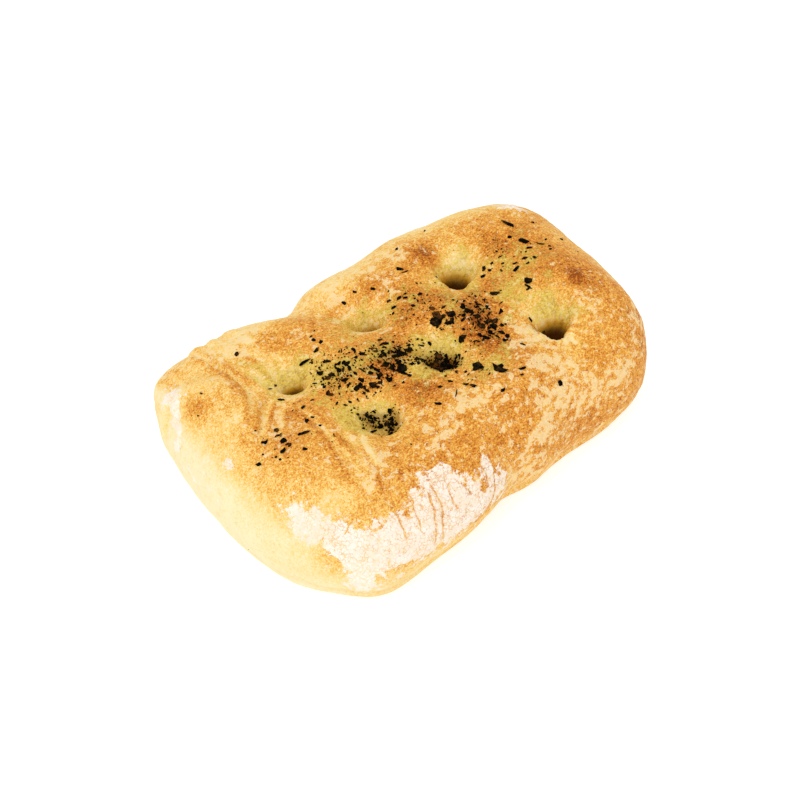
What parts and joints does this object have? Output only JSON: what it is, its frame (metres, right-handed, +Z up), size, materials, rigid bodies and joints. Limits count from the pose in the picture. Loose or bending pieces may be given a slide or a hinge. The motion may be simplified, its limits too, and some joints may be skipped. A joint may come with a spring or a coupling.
{
  "type": "turkish bread",
  "caption": "Small puffed loaf with a golden, partly floured crust, fingertip dimples and baked-on herb flakes; it rests on its flat underside.",
  "frame": {"origin": "on the flat underside, below the middle of the loaf's box", "axes": "+X along the loaf, from the pale end to the dimpled right end; +Y from the floury side to the back; +Z up"},
  "size_m": [0.1544, 0.1052, 0.0445],
  "materials": {
    "crust": "baked crust, partly floured",
    "herbs": "dried herb leaf"
  },
  "bodies": {
    "root": {"bread": "crust"}
  },
  "joints": []
}
